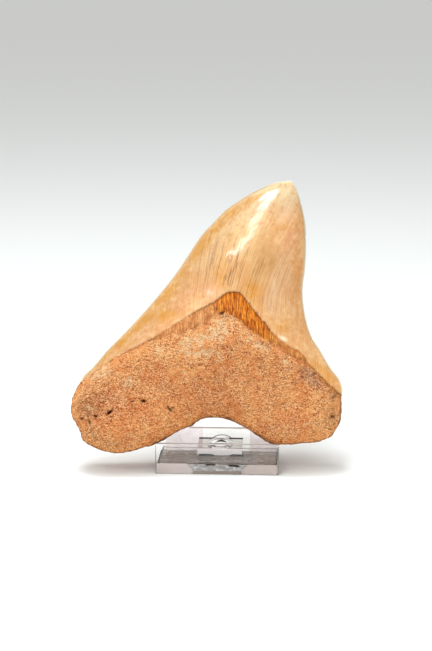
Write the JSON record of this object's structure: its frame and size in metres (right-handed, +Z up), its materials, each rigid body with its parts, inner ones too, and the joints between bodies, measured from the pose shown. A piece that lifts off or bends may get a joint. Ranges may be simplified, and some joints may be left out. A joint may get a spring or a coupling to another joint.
{
  "type": "megalodon tooth on a display stand",
  "caption": "Serrated fossil shark tooth with a chevron bourlette and rough root, leaning on a small clear plastic display stand.",
  "frame": {"origin": "centre of the whole display's footprint box, at the bottom", "axes": "+Z up, the tooth's lingual face looks towards -Y, +X to the viewer's right"},
  "size_m": [0.1228, 0.0474, 0.1287],
  "materials": {
    "fossil_tooth": "glossy cream to peach enamel, orange fibrous bourlette, rough pitted tan-orange root",
    "clear_base": "polished clear moulded plastic, see-through",
    "clear_back_rest": "polished clear moulded plastic, see-through, faintly lavender"
  },
  "bodies": {
    "root": {"tooth": "fossil_tooth", "stand_base": "clear_base", "stand_back_rest": "clear_back_rest"}
  },
  "joints": []
}
